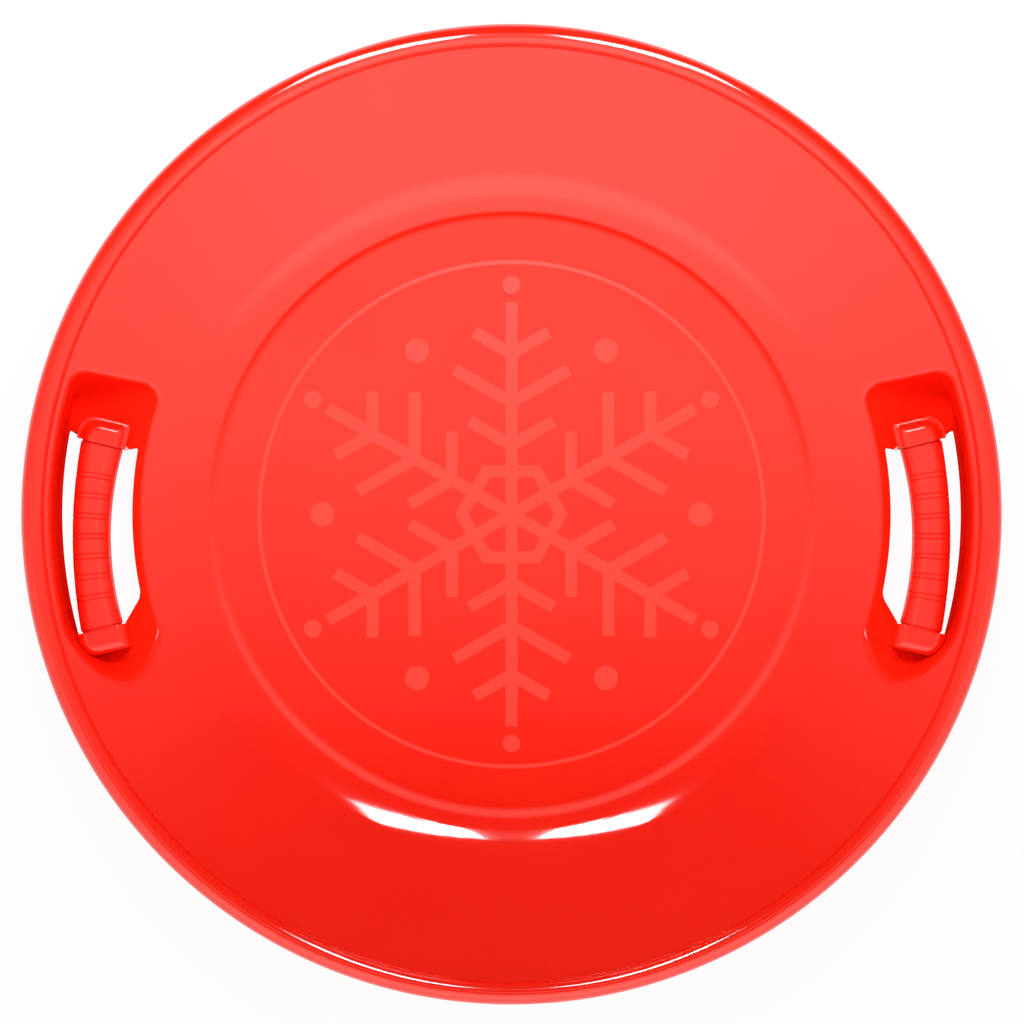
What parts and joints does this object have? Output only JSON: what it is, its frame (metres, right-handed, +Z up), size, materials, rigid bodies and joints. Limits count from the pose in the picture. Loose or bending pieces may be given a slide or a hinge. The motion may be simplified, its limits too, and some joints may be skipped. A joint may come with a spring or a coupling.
{
  "type": "saucer sled",
  "caption": "Round moulded saucer sled with a flat floor, sloped sides, a rolled rim and a ribbed hand grip in a slotted pocket at each side.",
  "frame": {"origin": "middle of the dish's flat underside, at the bottom centre of the bounding box", "axes": "+Z up out of the dish, +Y to the front of the sled (up in the picture), +X to its right side"},
  "size_m": [0.665, 0.665, 0.086],
  "materials": {
    "dish_plastic": "glossy moulded polypropylene, bright red",
    "grip_plastic": "satin moulded polypropylene, bright red",
    "cap_plastic": "glossy moulded polypropylene, bright red"
  },
  "bodies": {
    "root": {"dish": "dish_plastic", "left_grip_upper_shell": "grip_plastic", "left_grip_lower_shell": "grip_plastic", "left_front_end_cap": "cap_plastic", "left_rear_end_cap": "cap_plastic", "right_grip_upper_shell": "grip_plastic", "right_grip_lower_shell": "grip_plastic", "right_front_end_cap": "cap_plastic", "right_rear_end_cap": "cap_plastic"}
  },
  "joints": []
}
